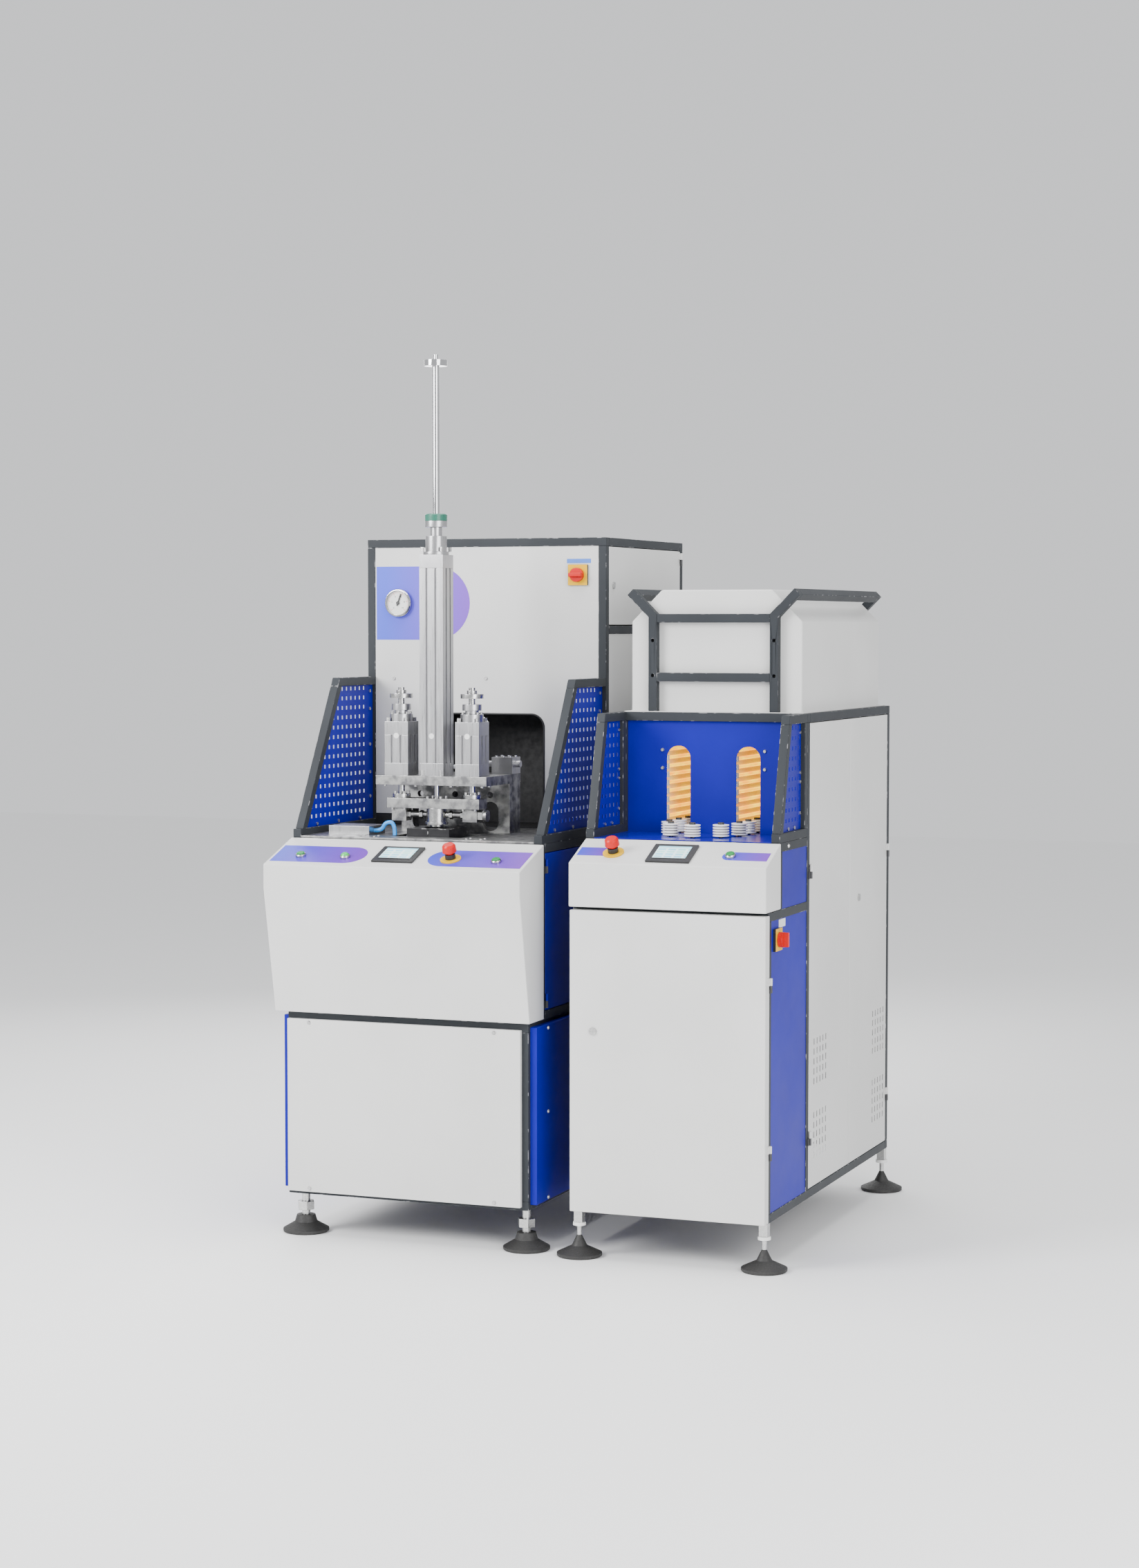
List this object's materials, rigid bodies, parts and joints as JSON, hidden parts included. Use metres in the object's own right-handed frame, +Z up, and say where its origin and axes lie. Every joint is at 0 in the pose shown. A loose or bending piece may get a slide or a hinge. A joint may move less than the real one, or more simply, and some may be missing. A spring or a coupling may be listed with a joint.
{
  "type": "blow moulding machine",
  "caption": "Semi-automatic stretch blow moulding machine: a press with a tall stretch cylinder and a preform heating oven with an exhaust hood.",
  "frame": {"origin": "on the floor, under the middle of the whole machine's bounding box", "axes": "+Z up, +X to the right as the operator faces the consoles, -Y towards the operator"},
  "size_m": [1.536, 1.4258, 2.545],
  "materials": {
    "frame_paint": "textured anthracite powder coat with worn weld edges",
    "pale_paint": "light warm grey powder coat, fine orange peel",
    "blue_paint": "ultramarine powder coat",
    "plate_steel": "mottled ground steel plate",
    "deck_steel": "bright ground deck plate",
    "cylinder_aluminium": "satin anodised aluminium",
    "bright_rod": "hard chromed rod, bright steel collars",
    "turned_steel": "turned stainless steel",
    "zinc": "zinc-plated hardware",
    "mould_black": "black anodised mould blocks",
    "bumper_green": "green polyurethane bumper",
    "hose_white": "translucent white and blue air hoses",
    "button_green": "green push button caps",
    "stop_red": "red mushroom heads",
    "bezel_silver": "satin metal bezels and collars",
    "screen_black": "black screen frame with a pale glass face",
    "switch_yellow": "yellow switch plates",
    "switch_red": "red rotary switch knobs",
    "gauge_metal": "bright gauge case with a white dial",
    "needle_black": "black needle",
    "foot_rubber": "black foot pads with zinc studs",
    "mandrel_white": "white ribbed mandrels with dark stems",
    "chain_steel": "oiled chain and wheels with white mandrels",
    "heater_quartz": "glowing quartz lamps between polished mirrors"
  },
  "bodies": {
    "machine": {"control_bezels": "bezel_silver", "deck_hose": "hose_white", "deck_plate": "deck_steel", "exhaust_hood": "pale_paint", "gauge_case": "gauge_metal", "guard_sheets": "blue_paint", "head_frame_plates": "plate_steel", "heater_bank": "heater_quartz", "hinge_posts": "zinc", "hood_rack": "frame_paint", "machine_feet": "foot_rubber", "main_switch_plates": "switch_yellow", "mandrel_chain": "chain_steel", "nozzle_cylinders": "cylinder_aluminium", "oven_blue_panels": "blue_paint", "oven_console_hood": "pale_paint", "oven_deck": "blue_paint", "oven_frame": "frame_paint", "oven_inner_wall": "blue_paint", "oven_pale_panels": "pale_paint", "panel_screws": "zinc", "port_hose": "hose_white", "press_base_frame": "frame_paint", "press_console_hood": "pale_paint", "press_cover_sheets": "pale_paint", "press_side_panels": "blue_paint", "press_upper_frame": "frame_paint", "stretch_bumper": "bumper_green", "stretch_cylinder": "cylinder_aluminium", "touch_screens": "screen_black", "tower_front_panel": "pale_paint", "upper_hose": "hose_white", "valve_block": "cylinder_aluminium"},
    "stretch_ram": {"stretch_rod": "bright_rod"},
    "nozzle_carriage": {"nozzle_cylinder_rods": "bright_rod", "nozzle_bar": "plate_steel", "blow_nozzle": "turned_steel"},
    "left_mould": {"left_mould_half": "mould_black"},
    "right_mould": {"right_mould_half": "mould_black"},
    "left_start": {"left_start_button": "button_green"},
    "right_start": {"right_start_button": "button_green"},
    "oven_start": {"oven_start_button": "button_green"},
    "press_stop": {"press_stop_head": "stop_red"},
    "oven_stop": {"oven_stop_head": "stop_red"},
    "press_switch": {"press_switch_knob": "switch_red"},
    "oven_switch": {"oven_switch_knob": "switch_red"},
    "gauge_pointer": {"gauge_needle": "needle_black"},
    "press_door": {"press_side_door": "blue_paint"},
    "tower_door": {"tower_side_door": "pale_paint"},
    "tower_lock": {"tower_door_lock": "zinc"},
    "oven_door": {"oven_front_door": "pale_paint"},
    "oven_door_lock": {"oven_front_lock": "zinc"},
    "side_door_front": {"oven_side_door_front": "pale_paint"},
    "side_door_rear": {"oven_side_door_rear": "pale_paint"},
    "side_door_lock": {"oven_side_lock": "zinc"},
    "mandrel_a": {"front_mandrel_a": "mandrel_white"},
    "mandrel_b": {"front_mandrel_b": "mandrel_white"},
    "mandrel_c": {"front_mandrel_c": "mandrel_white"},
    "mandrel_d": {"front_mandrel_d": "mandrel_white"},
    "mandrel_e": {"front_mandrel_e": "mandrel_white"}
  },
  "joints": [
    {"name": "stretch_stroke", "type": "slide", "parent": "machine", "child": "stretch_ram", "axis": [0, 0, -1], "range_m": [0, 0.424]},
    {"name": "nozzle_stroke", "type": "slide", "parent": "machine", "child": "nozzle_carriage", "axis": [0, 0, -1], "range_m": [0, 0.011]},
    {"name": "left_mould_slide", "type": "slide", "parent": "machine", "child": "left_mould", "axis": [-1, 0, 0], "range_m": [0, 0.038]},
    {"name": "right_mould_slide", "type": "slide", "parent": "machine", "child": "right_mould", "axis": [1, 0, 0], "range_m": [0, 0.038]},
    {"name": "left_start_press", "type": "slide", "parent": "machine", "child": "left_start", "axis": [0, 0.3334, -0.9428], "range_m": [0, 0.004], "stiffness_N_per_m": 400},
    {"name": "right_start_press", "type": "slide", "parent": "machine", "child": "right_start", "axis": [0, 0.3334, -0.9428], "range_m": [0, 0.004], "stiffness_N_per_m": 400},
    {"name": "oven_start_press", "type": "slide", "parent": "machine", "child": "oven_start", "axis": [0, 0.3947, -0.9188], "range_m": [0, 0.004], "stiffness_N_per_m": 400},
    {"name": "press_stop_press", "type": "slide", "parent": "machine", "child": "press_stop", "axis": [0, 0.3334, -0.9428], "range_m": [0, 0.006]},
    {"name": "oven_stop_press", "type": "slide", "parent": "machine", "child": "oven_stop", "axis": [0, 0.3947, -0.9188], "range_m": [0, 0.006]},
    {"name": "press_switch_turn", "type": "hinge", "parent": "machine", "child": "press_switch", "pos_m": [-0.058, -0.014, 1.915], "axis": [0, 1, 0], "range_deg": [0, 90]},
    {"name": "oven_switch_turn", "type": "hinge", "parent": "machine", "child": "oven_switch", "pos_m": [0.716, -0.516, 0.906], "axis": [-1, 0, 0], "range_deg": [0, 90]},
    {"name": "gauge_turn", "type": "hinge", "parent": "machine", "child": "gauge_pointer", "pos_m": [-0.644, -0.026, 1.833], "axis": [0, 1, 0], "range_deg": [-155, 115], "stiffness_Nm_per_rad": 0.01},
    {"name": "press_door_swing", "type": "hinge", "parent": "machine", "child": "press_door", "pos_m": [0.0355, -0.506, 0.9], "axis": [0, 0, -1], "range_deg": [0, 12]},
    {"name": "tower_door_swing", "type": "hinge", "parent": "machine", "child": "tower_door", "pos_m": [0.0355, 0.654, 1.88], "axis": [0, 0, 1], "range_deg": [0, 12]},
    {"name": "tower_lock_turn", "type": "hinge", "parent": "tower_door", "child": "tower_lock", "pos_m": [0.031, 0.045, 1.884], "axis": [-1, 0, 0], "range_deg": [0, 90]},
    {"name": "oven_door_swing", "type": "hinge", "parent": "machine", "child": "oven_door", "pos_m": [0.7255, -0.594, 0.56], "axis": [0, 0, 1], "range_deg": [0, 100]},
    {"name": "oven_door_lock_turn", "type": "hinge", "parent": "oven_door", "child": "oven_door_lock", "pos_m": [0.221, -0.63, 0.643], "axis": [0, 1, 0], "range_deg": [0, 90]},
    {"name": "side_door_front_swing", "type": "hinge", "parent": "machine", "child": "side_door_front", "pos_m": [0.7225, -0.204, 0.8], "axis": [0, 0, -1], "range_deg": [0, 110]},
    {"name": "side_door_rear_swing", "type": "hinge", "parent": "machine", "child": "side_door_rear", "pos_m": [0.7225, 0.637, 0.8], "axis": [0, 0, 1], "range_deg": [0, 110]},
    {"name": "side_door_lock_turn", "type": "hinge", "parent": "side_door_rear", "child": "side_door_lock", "pos_m": [0.718, 0.314, 0.949], "axis": [-1, 0, 0], "range_deg": [0, 90]},
    {"name": "mandrel_a_spin", "type": "hinge", "parent": "machine", "child": "mandrel_a", "pos_m": [0.328, -0.295, 1.18], "axis": [0, 0, 1], "continuous": true},
    {"name": "mandrel_b_spin", "type": "hinge", "parent": "machine", "child": "mandrel_b", "pos_m": [0.35875, -0.36925, 1.18], "axis": [0, 0, 1], "continuous": true},
    {"name": "mandrel_c_spin", "type": "hinge", "parent": "machine", "child": "mandrel_c", "pos_m": [0.433, -0.4, 1.18], "axis": [0, 0, 1], "continuous": true},
    {"name": "mandrel_d_spin", "type": "hinge", "parent": "machine", "child": "mandrel_d", "pos_m": [0.50725, -0.36925, 1.18], "axis": [0, 0, 1], "continuous": true},
    {"name": "mandrel_e_spin", "type": "hinge", "parent": "machine", "child": "mandrel_e", "pos_m": [0.538, -0.295, 1.18], "axis": [0, 0, 1], "continuous": true}
  ],
  "couplings": [
    {"joint": "right_mould_slide", "follows": "left_mould_slide", "ratio": 1}
  ]
}
